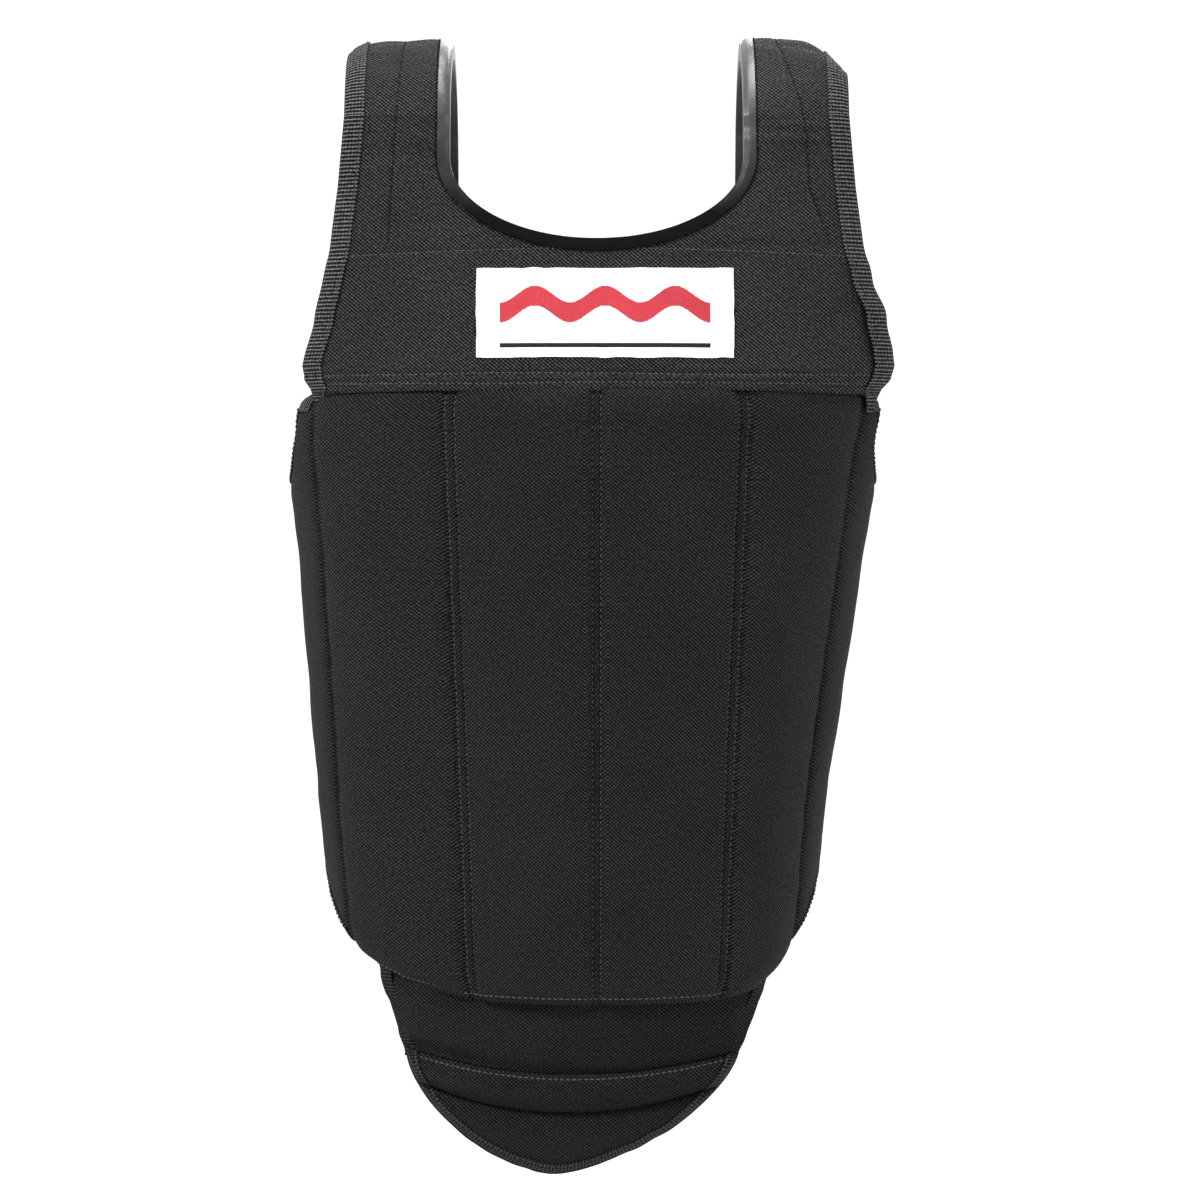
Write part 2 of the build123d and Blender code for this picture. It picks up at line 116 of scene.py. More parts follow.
# Small numeric helpers ----------------------------------


def smooth(x):
    """A smooth step from 0 at 0 to 1 at 1."""
    x = np.clip(x, 0, 1)
    return x * x * (3 - 2 * x)


def bump(distance, width):
    """A rounded ridge of height 1 at distance 0."""
    return np.exp(-((distance / width) ** 2))


def rise(distance, width):
    """Rises from 0 at an edge to 1 inside it, like cloth pulled over foam."""
    return np.sqrt(np.clip(1 - (1 - np.clip(distance / width, 0, 1)) ** 2, 0, 1))


def wander(x, y, seed):
    """Smooth random heights between -1 and 1, changing over about one unit."""
    table = np.random.default_rng(seed).uniform(-1, 1, (64, 64))
    x, y = np.broadcast_arrays(np.asarray(x, float), np.asarray(y, float))
    xi, yi = np.floor(x).astype(int), np.floor(y).astype(int)
    fx, fy = smooth(x - xi), smooth(y - yi)

    def at(i, j):
        return table[(xi + i) % 64, (yi + j) % 64]

    low = at(0, 0) * (1 - fx) + at(1, 0) * fx
    high = at(0, 1) * (1 - fx) + at(1, 1) * fx
    return low * (1 - fy) + high * fy


def creases(x, y, size, seed):
    """Folds of cloth: three sizes of smooth random heights added up."""
    return (
        wander(x / size, y / size, seed)
        + 0.5 * wander(x / size * 2.1, y / size * 2.1, seed + 1)
        + 0.25 * wander(x / size * 4.3, y / size * 4.3, seed + 2)
    )


# The torso surface --------------------------------------


def half_axes(levels, z, t):
    """Half width and half depth of the torso at height z, grown by t."""
    at, wide, deep = zip(*levels)
    return np.interp(z, at, wide) + t, np.interp(z, at, deep) + t


def over_x(levels, x, z, t, side=-1.0):
    """The surface point at x and z: side -1 is in front of the wearer."""
    x, z, t = np.broadcast_arrays(*(np.asarray(v, float) for v in (x, z, t)))
    a, b = half_axes(levels, z, t)
    y = side * b * np.sqrt(np.clip(1 - (x / a) ** 2, 0, 1))
    return np.stack([x, y, z], -1)


def over_angle(levels, angle, z, t):
    """The surface point at an angle round the torso from the front, in degrees."""
    angle, z, t = np.broadcast_arrays(*(np.asarray(v, float) for v in (angle, z, t)))
    a, b = half_axes(levels, z, t)
    s, c = np.sin(np.radians(angle)), np.cos(np.radians(angle))
    reach = a * b / np.sqrt((b * s) ** 2 + (a * c) ** 2)
    return np.stack([reach * s + waist_lean(angle, z), -reach * c, z], -1)


def waist_lean(angle, z):
    """How far the sides hang towards the wearer's right: none in front or at the bands."""
    amount = np.interp(z, (-571, -455, -300, -240, -204), (-15, -15, -9.5, -8, -3))
    grows = smooth((np.abs(angle) - 40) / 33)
    fades = smooth((118 - np.abs(angle)) / 28)
    return amount * grows * fades


# Meshes from grids of points ----------------------------


def grid_normals(points):
    """Unit normals of a grid of points, rows first."""
    along = np.gradient(points, axis=1)
    across = np.gradient(points, axis=0)
    n = np.cross(along, across)
    return n / np.maximum(np.linalg.norm(n, axis=-1, keepdims=True), 1e-9)


def uv_at(u, v):
    """Texture coordinates in metres from two distances in millimetres."""
    return np.stack(np.broadcast_arrays(u, v), -1) * MM


def make_mesh(name, verts, faces, uvs, materials):
    """One smooth mesh object from numpy arrays, with its vertices in millimetres."""
    mesh = bpy.data.meshes.new(name)
    mesh.from_pydata((verts * MM).tolist(), [], faces.tolist())
    layer = mesh.uv_layers.new(name="UVMap")
    layer.data.foreach_set("uv", uvs[faces.ravel()].astype(np.float32).ravel())
    for material in materials:
        mesh.materials.append(material)
    mesh.polygons.foreach_set("use_smooth", [True] * len(mesh.polygons))
    mesh.update()
    obj = bpy.data.objects.new(name, mesh)
    bpy.context.collection.objects.link(obj)
    return obj


def quads(rows, columns, start=0, flip=False):
    """Faces of one grid of points."""
    index = np.arange(rows * columns).reshape(rows, columns) + start
    f = np.stack([index[:-1, :-1], index[:-1, 1:], index[1:, 1:], index[1:, :-1]], -1)
    f = f.reshape(-1, 4)
    return f[:, ::-1] if flip else f


def slab(name, top, bottom, materials, uv):
    """A closed slab between two grids of points of the same size."""
    rows, columns = top.shape[:2]
    count = rows * columns
    verts = np.concatenate([top.reshape(-1, 3), bottom.reshape(-1, 3)])
    uvs = np.concatenate([uv.reshape(-1, 2)] * 2)
    index = np.arange(count).reshape(rows, columns)
    ring = np.concatenate([index[0, :-1], index[:-1, -1], index[-1, :0:-1], index[:0:-1, 0]])
    after = np.roll(ring, -1)
    rim = np.stack([after, ring, ring + count, after + count], -1)
    faces = np.concatenate([quads(rows, columns), quads(rows, columns, count, True), rim])
    obj = make_mesh(name, verts, faces, uvs, materials)
    obj.data.validate()
    obj.data.set_sharp_from_angle(angle=math.radians(50))
    return obj


def cloth_sheet(name, points, thickness, materials, uv):
    """A sheet of cloth of one thickness, centred on a grid of points."""
    lift = grid_normals(points) * thickness / 2
    return slab(name, points + lift, points - lift, materials, uv)


# Materials ----------------------------------------------


class Nodes:
    """Short names for the nodes that the cloth materials are made of."""

    def __init__(self, name):
        self.material = bpy.data.materials.new(name)
        self.material.use_nodes = True
        self.tree = self.material.node_tree
        self.shader = self.tree.nodes["Principled BSDF"]
        self.uv = self.tree.nodes.new("ShaderNodeUVMap")
        self.uv.uv_map = "UVMap"

    def link(self, a, b):
        self.tree.links.new(a, b)

    def math(self, operation, a, b=None):
        node = self.tree.nodes.new("ShaderNodeMath")
        node.operation = operation
        for socket, value in zip(node.inputs, (a, b)):
            if isinstance(value, (int, float)):
                socket.default_value = value
            elif value is not None:
                self.link(value, socket)
        return node.outputs[0]

    def split(self):
        node = self.tree.nodes.new("ShaderNodeSeparateXYZ")
        self.link(self.uv.outputs[0], node.inputs[0])
        return node.outputs[0], node.outputs[1]

    def wave(self, value, pitch, phase=0.0):
        """A sine along value, repeating every pitch metres."""
        turn = self.math("MULTIPLY", value, math.tau / pitch)
        return self.math("SINE", self.math("ADD", turn, phase))

    def noise(self, scale, detail):
        node = self.tree.nodes.new("ShaderNodeTexNoise")
        node.inputs["Scale"].default_value = scale
        node.inputs["Detail"].default_value = detail
        node.inputs["Roughness"].default_value = 0.6
        self.link(self.uv.outputs[0], node.inputs["Vector"])
        return node.outputs["Fac"]

    def uneven(self, scale, detail, size):
        """Noise about 0, up to half of size either way."""
        return self.math("MULTIPLY", self.math("SUBTRACT", self.noise(scale, detail), 0.5), size)

    def ramp(self, value, low, high):
        node = self.tree.nodes.new("ShaderNodeValToRGB")
        node.color_ramp.elements[0].color = (*low, 1)
        node.color_ramp.elements[1].color = (*high, 1)
        self.link(value, node.inputs[0])
        return node.outputs[0]

    def bump(self, height, distance):
        node = self.tree.nodes.new("ShaderNodeBump")
        node.inputs["Strength"].default_value = 1.0
        node.inputs["Distance"].default_value = distance
        self.link(height, node.inputs["Height"])
        self.link(node.outputs[0], self.shader.inputs["Normal"])


# A plain weave's repeat is wider than it is high, and one of its diagonals is the stronger
REPEAT_WIDE, REPEAT_HIGH = 1.09, 0.91
CHECKS, DIAGONAL = 0.75, 0.3
# Ribbed cloth: its ribs, and the finer threads across them
RIBS, CROSS_THREADS = 0.8, 0.3
# The lightest threads are this much lighter than the shade, at full contrast. Besides the weave's own
# pattern, these sparse light threads are partly painted glints, for the shine of glossy threads
LIGHTEST = 4.4


def plain_weave(n, pitch):
    """Height of a plain weave: checks with one diagonal stronger."""
    u, v = n.split()
    wide = n.math("DIVIDE", u, REPEAT_WIDE)
    high = n.math("DIVIDE", v, REPEAT_HIGH)
    checks = n.math("MULTIPLY", n.wave(wide, pitch), n.wave(high, pitch))
    diagonal = n.wave(n.math("ADD", wide, high), pitch, -math.pi / 2)
    return n.math("ADD", n.math("MULTIPLY", checks, CHECKS), n.math("MULTIPLY", diagonal, DIAGONAL))


def ribs(n, pitch):
    """Height of ribbed cloth, its ribs across v."""
    u, v = n.split()
    fine = n.math("MULTIPLY", n.wave(u, pitch * 0.6), CROSS_THREADS)
    return n.math("ADD", n.math("MULTIPLY", n.wave(v, pitch), RIBS), fine)


def cloth(
    name, shade, weave, pitch, depth, rough=0.88, sheen=0.02, contrast=1.0, tint=(1, 1, 1)
):
    """Woven cloth: pitch is one repeat of its weave and depth its bump, in metres."""
    n = Nodes(name)
    height = weave(n, pitch)
    fibres = n.uneven(520.0, 2.0, 2.4)
    patchy = n.uneven(14.0, 4.0, 0.35)
    threads = n.math("ADD", height, fibres)
    # The tone is the weave's own thread pattern, with painted glints in its sparse lightest threads
    tone = n.math("ADD", n.math("MULTIPLY", threads, 0.6), n.math("ADD", patchy, 0.15))
    dark = tuple(shade * (1 - contrast) * c for c in tint)
    light = tuple(shade * (1 + LIGHTEST * contrast) * c for c in tint)
    n.link(n.ramp(tone, dark, light), n.shader.inputs["Base Color"])
    n.shader.inputs["Roughness"].default_value = rough
    n.shader.inputs["Sheen Weight"].default_value = sheen
    n.shader.inputs["Sheen Roughness"].default_value = 0.5
    n.shader.inputs["Specular IOR Level"].default_value = 0.12
    n.bump(threads, depth)
    return n.material


def coated(name, shade, rough, scoop_z, shoulder_z):
    """Smooth coated tape, greyer over the shoulders than at the scoop of the neck: painted highlight
    and painted shade.
    """
    n = Nodes(name)
    place = n.tree.nodes.new("ShaderNodeTexCoord")
    axes = n.tree.nodes.new("ShaderNodeSeparateXYZ")
    n.link(place.outputs["Object"], axes.inputs[0])
    level = n.math("ADD", axes.outputs[2], n.uneven(70.0, 3.0, 0.02))
    span = shoulder_z - scoop_z
    share = n.math("DIVIDE", n.math("SUBTRACT", level, scoop_z), span)
    # Painted light: the base colour runs from painted shade at the scoop to a painted highlight over
    # the shoulders
    n.link(n.ramp(share, (shade * 0.2,) * 3, (shade * 2.2,) * 3), n.shader.inputs["Base Color"])
    n.link(n.math("MULTIPLY", share, 0.5), n.shader.inputs["Specular IOR Level"])
    n.shader.inputs["Roughness"].default_value = rough
    grain = n.math("MULTIPLY", n.noise(900.0, 2.0), 0.3)
    n.bump(n.math("ADD", grain, n.noise(70.0, 3.0)), 0.0005)
    return n.material


CANVAS_PITCH = 0.00242
# The yoke and straps' canvas is the panel's cloth made lighter: painted light, for the stronger light
# from above on the shoulders
CANVAS = cloth("yoke_canvas", 0.0175, plain_weave, CANVAS_PITCH, 0.0008)
CHANNEL_CLOTH = cloth("channel_canvas", 0.0092, plain_weave, CANVAS_PITCH, 0.0008)
WING_CLOTH = cloth("wing_canvas", 0.0090, plain_weave, CANVAS_PITCH, 0.0006, contrast=0.7)
FLAP_CLOTH = cloth("flap_canvas", 0.0060, plain_weave, CANVAS_PITCH, 0.0007)
LINING = cloth("lining_cloth", 0.02, plain_weave, 0.0014, 0.0003, rough=0.75, contrast=0.5)
WEBBING = cloth("ribbed_webbing", 0.038, ribs, 0.0024, 0.0012)
DARK_WEBBING = cloth("dark_webbing", 0.011, ribs, 0.0022, 0.0012)
ELASTIC = cloth("ribbed_elastic", 0.014, ribs, 0.0020, 0.001, contrast=0.8)
HOOKS = cloth("hook_tape", 0.012, plain_weave, 0.0016, 0.0008, rough=0.5, sheen=0.0)
LOOPS = cloth("loop_tape", 0.024, plain_weave, 0.0012, 0.0004, sheen=0.3, contrast=0.6)
# The neck tape's colour holds a painted highlight over the shoulders and painted shade at the scoop
NECK_TAPE = coated("neck_tape", 0.024, 0.36, -0.1, 0.0)
DARK_THREAD = cloth("dark_thread", 0.004, ribs, 0.0006, 0.0001, contrast=0.2)
# The thread is lighter than the canvas it sews: painted highlight, for the light that the raised
# cloth along the seams catches
THREAD = cloth("thread", 0.06, ribs, 0.0006, 0.0001, contrast=0.2)


# The padded upper part: yoke, straps and back yoke ------

ARCH_END = math.acos((STRAP_SEAM_Z + STRAP_RADIUS) / STRAP_RADIUS)
STRAP_MIDDLE_RADIUS = STRAP_RADIUS + YOKE_THICK / 2
TOP_HALF_WIDTH, TOP_HALF_DEPTH = YOKE[-1][1:]


def side_x(z, front=True):
    """Distance from the middle of the vest to its armhole edge."""
    if front:
        at = (-210, -204, -198, -190, -165, -125, -83, -41)
        return np.interp(z, at, (166, 171, 175, 176, 168, 159, 153.5, 150))
    return np.interp(z, (-200, -165, -125, -83, -41), (70, 105, 132, 145, 150))


def neck_x(z, top_z):
    """Distance from the middle of the vest to its neckline."""
    below = np.clip((top_z - z) / NECK_DEPTH, 0, 1)
    return STRAP_INNER_X * np.sqrt(1 - below**2)


def arch(x, phi, t):
    """A point on a shoulder strap, at phi radians from its crown towards the front.

    The strap droops towards its outer edge, more so on the wearer's left.
    """
    x, phi, t = np.broadcast_arrays(*(np.asarray(v, float) for v in (x, phi, t)))
    flat = STRAP_RADIUS * math.sin(ARCH_END)
    ends = TOP_HALF_DEPTH * np.sqrt(1 - (np.abs(x) / TOP_HALF_WIDTH) ** 2) / flat
    stretch = 1 + (ends - 1) * smooth(np.abs(phi) / ARCH_END)
    y = -(STRAP_RADIUS + t) * np.sin(phi) * stretch
    slope = np.where(x > 0, 0.07, 0.05)
    droop = slope * (np.abs(x) - STRAP_INNER_X) * np.cos(phi * math.pi / 2 / ARCH_END) ** 2
    near_edge = np.clip((np.abs(x) - 122) / 28, 0, 1)
    outer = np.where(x > 0, 16.0, 3.0) * near_edge**2 * np.cos(phi) ** 6
    level = t * math.cos(ARCH_END) * smooth(np.abs(phi) / ARCH_END)
    z = -STRAP_RADIUS + (STRAP_RADIUS + t) * np.cos(phi) - droop - outer - level
    return np.stack([x, y, z], -1)


def facing_x(x, z):
    """Distance from the middle of the stitch line that runs down a strap and the yoke."""
    left = np.interp(z, (-118, -85, -49, -33, -20, 0), (139, 127, 125, 122, 117, 109))
    right = np.interp(z, (-118, -60, 0), (124, 121, 117))
    return np.where(x > 0, left, right)


def edge_fall(distance, width=16.0):
    """How thick a padded edge is, as a share of the full thickness."""
    return 0.62 + 0.38 * rise(distance, width)


def yoke_ends(front):
    """Heights of the foot of the yoke or the back yoke, and of its scoop's corners."""
    return (YOKE_LAP_Z, FRONT_NECK_Z) if front else (BACK_END_Z, BACK_NECK_Z)


def yoke_height(x, z, front=True):
    """Height of the canvas over the wearer on the yoke or the back yoke."""
    foot, top = yoke_ends(front)
    from_side = side_x(z, front) - np.abs(x)
    from_foot = z - foot
    t = YOKE_THICK * edge_fall(from_side) * (0.7 + 0.3 * rise(from_foot, 14))
    neck = np.hypot(np.abs(x) / STRAP_INNER_X, np.minimum(z - top, 0) / NECK_DEPTH)
    t = t * (0.66 + 0.34 * rise((neck - 1) * 60, 16))
    t = t + 0.9 * creases(x, z, 38.0, 3) * rise(from_side, 30)
    if not front:
        return t
    # Furrows under the stitches: the hem's rows, the facing's and the ones down the straps
    for row_z in HEM_ROWS_Z:
        t = t - 1.3 * bump(z - row_z, 1.5)
    t = t - 0.5 * bump(z - FACING_ROW_Z - 0.02 * x, 1.8)
    down_strap = bump(np.abs(x) - facing_x(x, z), 1.5)
    t = t - 0.7 * down_strap * smooth((z - FACING_FOOT_Z) / 6)
    # Two folds at the left strap's foot, puckers at the hem and long folds high up
    t = t + 0.7 * (bump(z + 47, 2.0) + bump(z + 55, 2.2)) * bump(x - 118, 22)
    t = t + 0.35 * wander(x / 7, z / 18, 9) * bump(z + 198, 8)
    return t + 0.9 * wander(x / 42, z / 8, 17) * smooth((z + 112) / 40) * rise(from_side, 24)


def upper_half(sign, front, count=130):
    """Grid of x and z over one half of the yoke, from its foot up to the strap seam."""
    foot, top = yoke_ends(front)
    z = np.linspace(foot, STRAP_SEAM_Z, count)[:, None]
    u = np.linspace(0, 1, count)[None, :]
    inner = np.where(z > top - NECK_DEPTH, neck_x(z, top), 0.0)
    x = sign * (inner + (side_x(z, front) - inner) * u)
    z = z + 1.6 * wander(x / 34, 0 * x, 15) * smooth((-185 - z) / 18) * front
    return x, z


def join(objects, name):
    """Joins mesh objects into one. Vertices that meet are not welded."""
    bpy.ops.object.select_all(action="DESELECT")
    for obj in objects:
        obj.select_set(True)
    bpy.context.view_layer.objects.active = objects[0]
    bpy.ops.object.join()
    obj = objects[0]
    obj.name = name
    obj.data.name = name
    return obj


def yoke_piece(name, front, low, height, material):
    """Both halves of a yoke as one piece: two closed slabs that meet in the middle."""
    halves = []
    for sign in (-1, 1):
        x, z = upper_half(sign, front)
        side = -1.0 if front else 1.0
        top = over_x(YOKE, x, z, height(x, z), side)
        under = over_x(YOKE, x, z, low, side)
        uv = uv_at(x, z)
        if sign * side > 0:
            top, under, uv = top[:, ::-1], under[:, ::-1], uv[:, ::-1]
        halves.append(slab(f"{name}_half", top, under, [material], uv))
    return join(halves, name)


def finish_piece(obj, body, nodes=()):
    """Tells the frame what a piece rides on, and hides the CAD parts that it stands for."""
    if body:
        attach(obj, body)
    if nodes:
        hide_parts(*nodes)
    return obj


def finish_layer(obj, part, body, name):
    """Finishes a padded piece's canvas, which has the foam inside it, or its lining."""
    if part == "canvas":
        nodes = (f"{name}_cover", f"{name}_foam")
        finish_piece(obj, body, nodes)
    else:
        finish_piece(obj, body, (f"{name}_lining",))


def even(t):
    """A height function that gives the same height everywhere."""
    return lambda *place: t


for name, is_front in (("yoke", True), ("back_yoke", False)):
    height = partial(yoke_height, front=is_front)
    cover = yoke_piece(f"{name}_canvas", is_front, CANVAS_UNDER, height, CANVAS)
    finish_layer(cover, "canvas", "vest", name)
    inside = yoke_piece(f"{name}_inside", is_front, 0.0, even(CLOTH), LINING)
    finish_layer(inside, "inside", "vest", name)


def strap_height(x, phi):
    """Height of the canvas over the wearer on a shoulder strap."""
    reach = np.abs(x)
    from_edge = np.clip(np.minimum(reach - STRAP_INNER_X, STRAP_OUTER_X - reach), 0, None)
    along = phi * STRAP_MIDDLE_RADIUS
    t = YOKE_THICK * edge_fall(from_edge, 14) + 0.7 * creases(x + 200, along, 30.0, 5)
    t = t + 0.9 * wander(x / 42, phi * 9, 19) * rise(from_edge, 20)
    strap_z = STRAP_RADIUS * (np.cos(phi) - 1)
    t = t - 0.7 * bump(reach - facing_x(x, strap_z), 1.5) * (phi > 0)
    near_yoke = smooth((np.abs(phi) / ARCH_END - 0.6) / 0.4)
    seam_z = np.full(np.shape(phi), STRAP_SEAM_Z)
    front_t, back_t = yoke_height(x, seam_z), yoke_height(x, seam_z, False)
    return t + (np.where(phi > 0, front_t, back_t) - t) * near_yoke


for side_name, sign in SIDES:
    phi = np.linspace(ARCH_END, -ARCH_END, 150)[:, None]
    reach = np.linspace(STRAP_INNER_X, STRAP_OUTER_X, 60)[None, :]
    x = sign * reach + 0 * phi
    t = strap_height(x, phi)
    along = STRAP_SEAM_Z + (ARCH_END - phi) * STRAP_MIDDLE_RADIUS
    arch_uv = uv_at(x, along)
    order = slice(None) if sign > 0 else slice(None, None, -1)
    for part, low, high, material in (
        ("canvas", CANVAS_UNDER, t, CANVAS),
        ("inside", 0.0, CLOTH, LINING),
    ):
        strap = slab(
            f"{side_name}_strap_{part}",
            arch(x, phi, high)[:, order],
            arch(x, phi, low)[:, order],
            [material],
            arch_uv[:, order],
        )
        finish_layer(strap, part, "vest", f"{side_name}_strap")


# Front panel and wings ----------------------------------

# Heights at which the panel's foot and the wings' edges are looked up from an angle
PANEL_FOOT_PROBE_Z = -560.0
WING_TOP_PROBE_Z = -230.0
WING_FOOT_PROBE_Z = -520.0
# Millimetres of weave to a degree
PANEL_WEAVE = 2.35
WING_WEAVE = 2.6


def channel_foot(x):
    """Height of the foot of the front panel under a point at x."""
    at = (-146, -138, -128, -110, -77, 0, 74, 90, 102, 112, 118)
    foot = (-541, -547, -553, -562, -570, -571, -570, -566, -557, -547, -541)
    return np.interp(x, at, foot)


def panel_height(angle, z, foot):
    """Height of the quilted canvas, pinched at every channel seam, the yoke and the foot."""
    nearest = np.min(np.abs(angle[..., None] - np.array(SEAMS)), -1) * PANEL_DEGREE
    across = np.maximum(nearest - SEAM_HALF, 0)
    t = PANEL_THICK - 4.4 + 2.0 * rise(across, 8) + 2.4 * rise(across, 42)
    t = t - 1.2 * bump(nearest - SEAM_HALF, 0.9)
    t = t * (0.62 + 0.38 * rise(HEM_Z - z, 20)) * (0.48 + 0.52 * rise(z - foot, 22))
    t = t + 0.5 * wander(z / 9, angle / 9, 21) * bump(across, 8)
    return t + 1.2 * creases(angle * PANEL_DEGREE, z, 70.0, 31) * rise(across, 20)


def panel_grid(height, rows=300, columns=440):
    """The front panel's points at a height over the torso."""
    fine = np.linspace(-WING_SEAM, WING_SEAM, 4000)
    density = np.cumsum(1 + 2.5 * sum(bump(fine - seam, 2.2) for seam in SEAMS))
    angle = np.interp(np.linspace(density[0], density[-1], columns), density, fine)[None, :]
    share = np.linspace(0, 1, rows)[:, None]
    foot = channel_foot(over_angle(BODY, angle, PANEL_FOOT_PROBE_Z, 10.0)[..., 0])
    z = foot + (HEM_Z - 1 - foot) * share
    t = height(angle + 0 * z, z, foot)
    points = over_angle(BODY, angle, z, t)
    # The weave's strong diagonal turns over within GRAIN_FLIP degrees of each seam
    grain = angle - 2 * sum(np.clip(angle - seam, -GRAIN_FLIP, GRAIN_FLIP) for seam in SEAMS)
    return points, uv_at(grain * PANEL_WEAVE, z)


top, panel_uv = panel_grid(panel_height)
under, _ = panel_grid(even(CANVAS_UNDER))
front = slab("front_canvas", top, under, [CHANNEL_CLOTH], panel_uv)
channels = [f"channel_foam_{n}" for n in ("right_side", "right_middle", "left_middle", "left_side")]
finish_piece(front, "vest", ("front_cover", *channels))
top, _ = panel_grid(even(CLOTH), 80, 120)
under, lining_uv = panel_grid(even(0.0), 80, 120)
front_inside = slab("front_inside", top, under, [LINING], lining_uv)
finish_piece(front_inside, "vest", ("front_lining",))


def wing_top(y):
    """Height of the wing's top edge, seen from the side."""
    s = np.clip((y + 38) / 40, 0, 1)
    return -208 - 44 * np.sqrt(np.clip(1 - (1 - s) ** 2, 0, 1))


def wing_foot(y):
    """Height of the wing's foot, seen from the side."""
    at = (-60, -41, -18, 0, 25, 60, 120)
    return np.interp(y, at, (-552, -541, -519, -502, -491, -485, -484))


def wing_top_at(angle):
    """Height of the wing's top edge at an angle round the torso."""
    return wing_top(over_angle(BODY, angle, WING_TOP_PROBE_Z, PANEL_THICK)[..., 1])


def wing_foot_at(angle):
    """Height of the wing's foot at an angle round the torso."""
    return wing_foot(over_angle(BODY, angle, WING_FOOT_PROBE_Z, PANEL_THICK)[..., 1])


def wing_grid(sign, height, rows=200, columns=120):
    """A wing's points at a height over the torso."""
    angle = np.linspace(WING_SEAM, WING_END, columns)[None, :]
    top_z, foot_z = wing_top_at(angle), wing_foot_at(angle)
    z = foot_z + (top_z - foot_z) * np.linspace(0, 1, rows)[:, None]
    t = height(angle + 0 * z, z, top_z, foot_z)
    points = over_angle(BODY, sign * angle, z, t)
    uv = uv_at(sign * angle * WING_WEAVE, z)
    return (points, uv) if sign > 0 else (points[:, ::-1], uv[:, ::-1])


def hang_wing(obj, sign):
    """The left wing is left free, its transform baked into its mesh. The right wing is sewn fast to
    the vest.
    """
    if sign > 0:
        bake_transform(obj)
    else:
        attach(obj, "vest")


def wing_height(angle, z, top_z, foot_z):
    """Height of the wing's canvas, pinched at the seam and all round its edge."""
    from_seam = (angle - WING_SEAM) * WING_DEGREE
    from_end = (WING_END - angle) * WING_DEGREE
    t = PANEL_THICK - 4.6 + 2.2 * rise(from_seam, 7) + 2.4 * rise(from_seam, 42)
    t = t * (0.34 + 0.66 * rise(from_end, 26))
    t = t * (0.55 + 0.45 * rise(top_z - z, 20)) * (0.55 + 0.45 * rise(z - foot_z, 20))
    t = t + 0.5 * wander(z / 9, angle / 9, 23) * bump(from_seam, 8)
    folds = creases(angle * WING_DEGREE, z, 50.0, 37)
    return t + folds * rise(from_seam, 20) * rise(from_end, 18)


for side_name, sign in SIDES:
    for part, low, high, material in (
        ("canvas", CANVAS_UNDER, wing_height, WING_CLOTH),
        ("inside", 0.0, even(CLOTH), LINING),
    ):
        top, wing_uv = wing_grid(sign, high)
        under, _ = wing_grid(sign, even(low))
        wing = slab(f"{side_name}_wing_{part}", top, under, [material], wing_uv)
        hang_wing(wing, sign)
        finish_layer(wing, part, None, f"{side_name}_wing")


# Folded tapes along the edges ---------------------------

TAPE_THICK = 0.9
# How far a tape's fold stands out past the canvas's edge, and the height of its inner side
TAPE_PROUD = 1.2
TAPE_INSIDE = -0.8
TAPE_ROWS = 9
# A place well behind the wings' ends, for the heights of their end corners
WING_END_Y = 100.0


def run_lengths(points):
    """Distance along a run of points, from 0 at its first one."""
    steps = np.linalg.norm(np.diff(points, axis=0), axis=-1)
    return np.concatenate([[0], np.cumsum(steps)])


def tape_uv(points):
    """Texture coordinates of a tape: across it, then along it."""
    return uv_at(run_lengths(points[:, 5])[:, None], run_lengths(points[4])[None, :])


def chain(*parts):
    """Joins runs of points into one run."""
    return np.concatenate(parts, 0)


def yoke_tape(x, z, front, lift):
    """A tape's points on the yoke: lift over its canvas, or on the inside where lift is None."""
    t = TAPE_INSIDE if lift is None else yoke_height(x, z, front) + lift
    return over_x(YOKE, x, z, t, -1.0 if front else 1.0)


def strap_tape(x, phi, lift):
    """A tape's points along a strap, with lift as on the yoke."""
    x = np.full(phi.shape, x)
    t = TAPE_INSIDE if lift is None else strap_height(x, phi) + lift
    return arch(x, phi, t)


def armhole_edge(sign, inset, lift):
    """Points along an armhole edge, from the yoke's hem over the strap to the back."""
    z = np.linspace(-218, STRAP_SEAM_Z, 160)
    tail = smooth((-198 - z) / 20)
    x = sign * (side_x(np.maximum(z, HEM_Z)) + TAPE_PROUD - inset * (1 - 0.7 * tail))
    front_run = yoke_tape(x, z, True, lift)
    ruffle = 2.0 * wander(z / 13, z * 0 + sign, 61) * smooth((-90 - z) / 90)
    bulge = 6 * bump(z + 166, 26) * (sign > 0)
    front_run[:, 0] += sign * (ruffle + bulge - 5 * tail)
    phi = np.linspace(ARCH_END, -ARCH_END, 130)[1:-1]
    over_strap = strap_tape(sign * (STRAP_OUTER_X + TAPE_PROUD - inset), phi, lift)
    z = np.linspace(STRAP_SEAM_Z, BACK_END_Z, 100)
    back_run = yoke_tape(sign * (side_x(z, False) + TAPE_PROUD - inset), z, False, lift)
    return chain(front_run, over_strap, back_run)


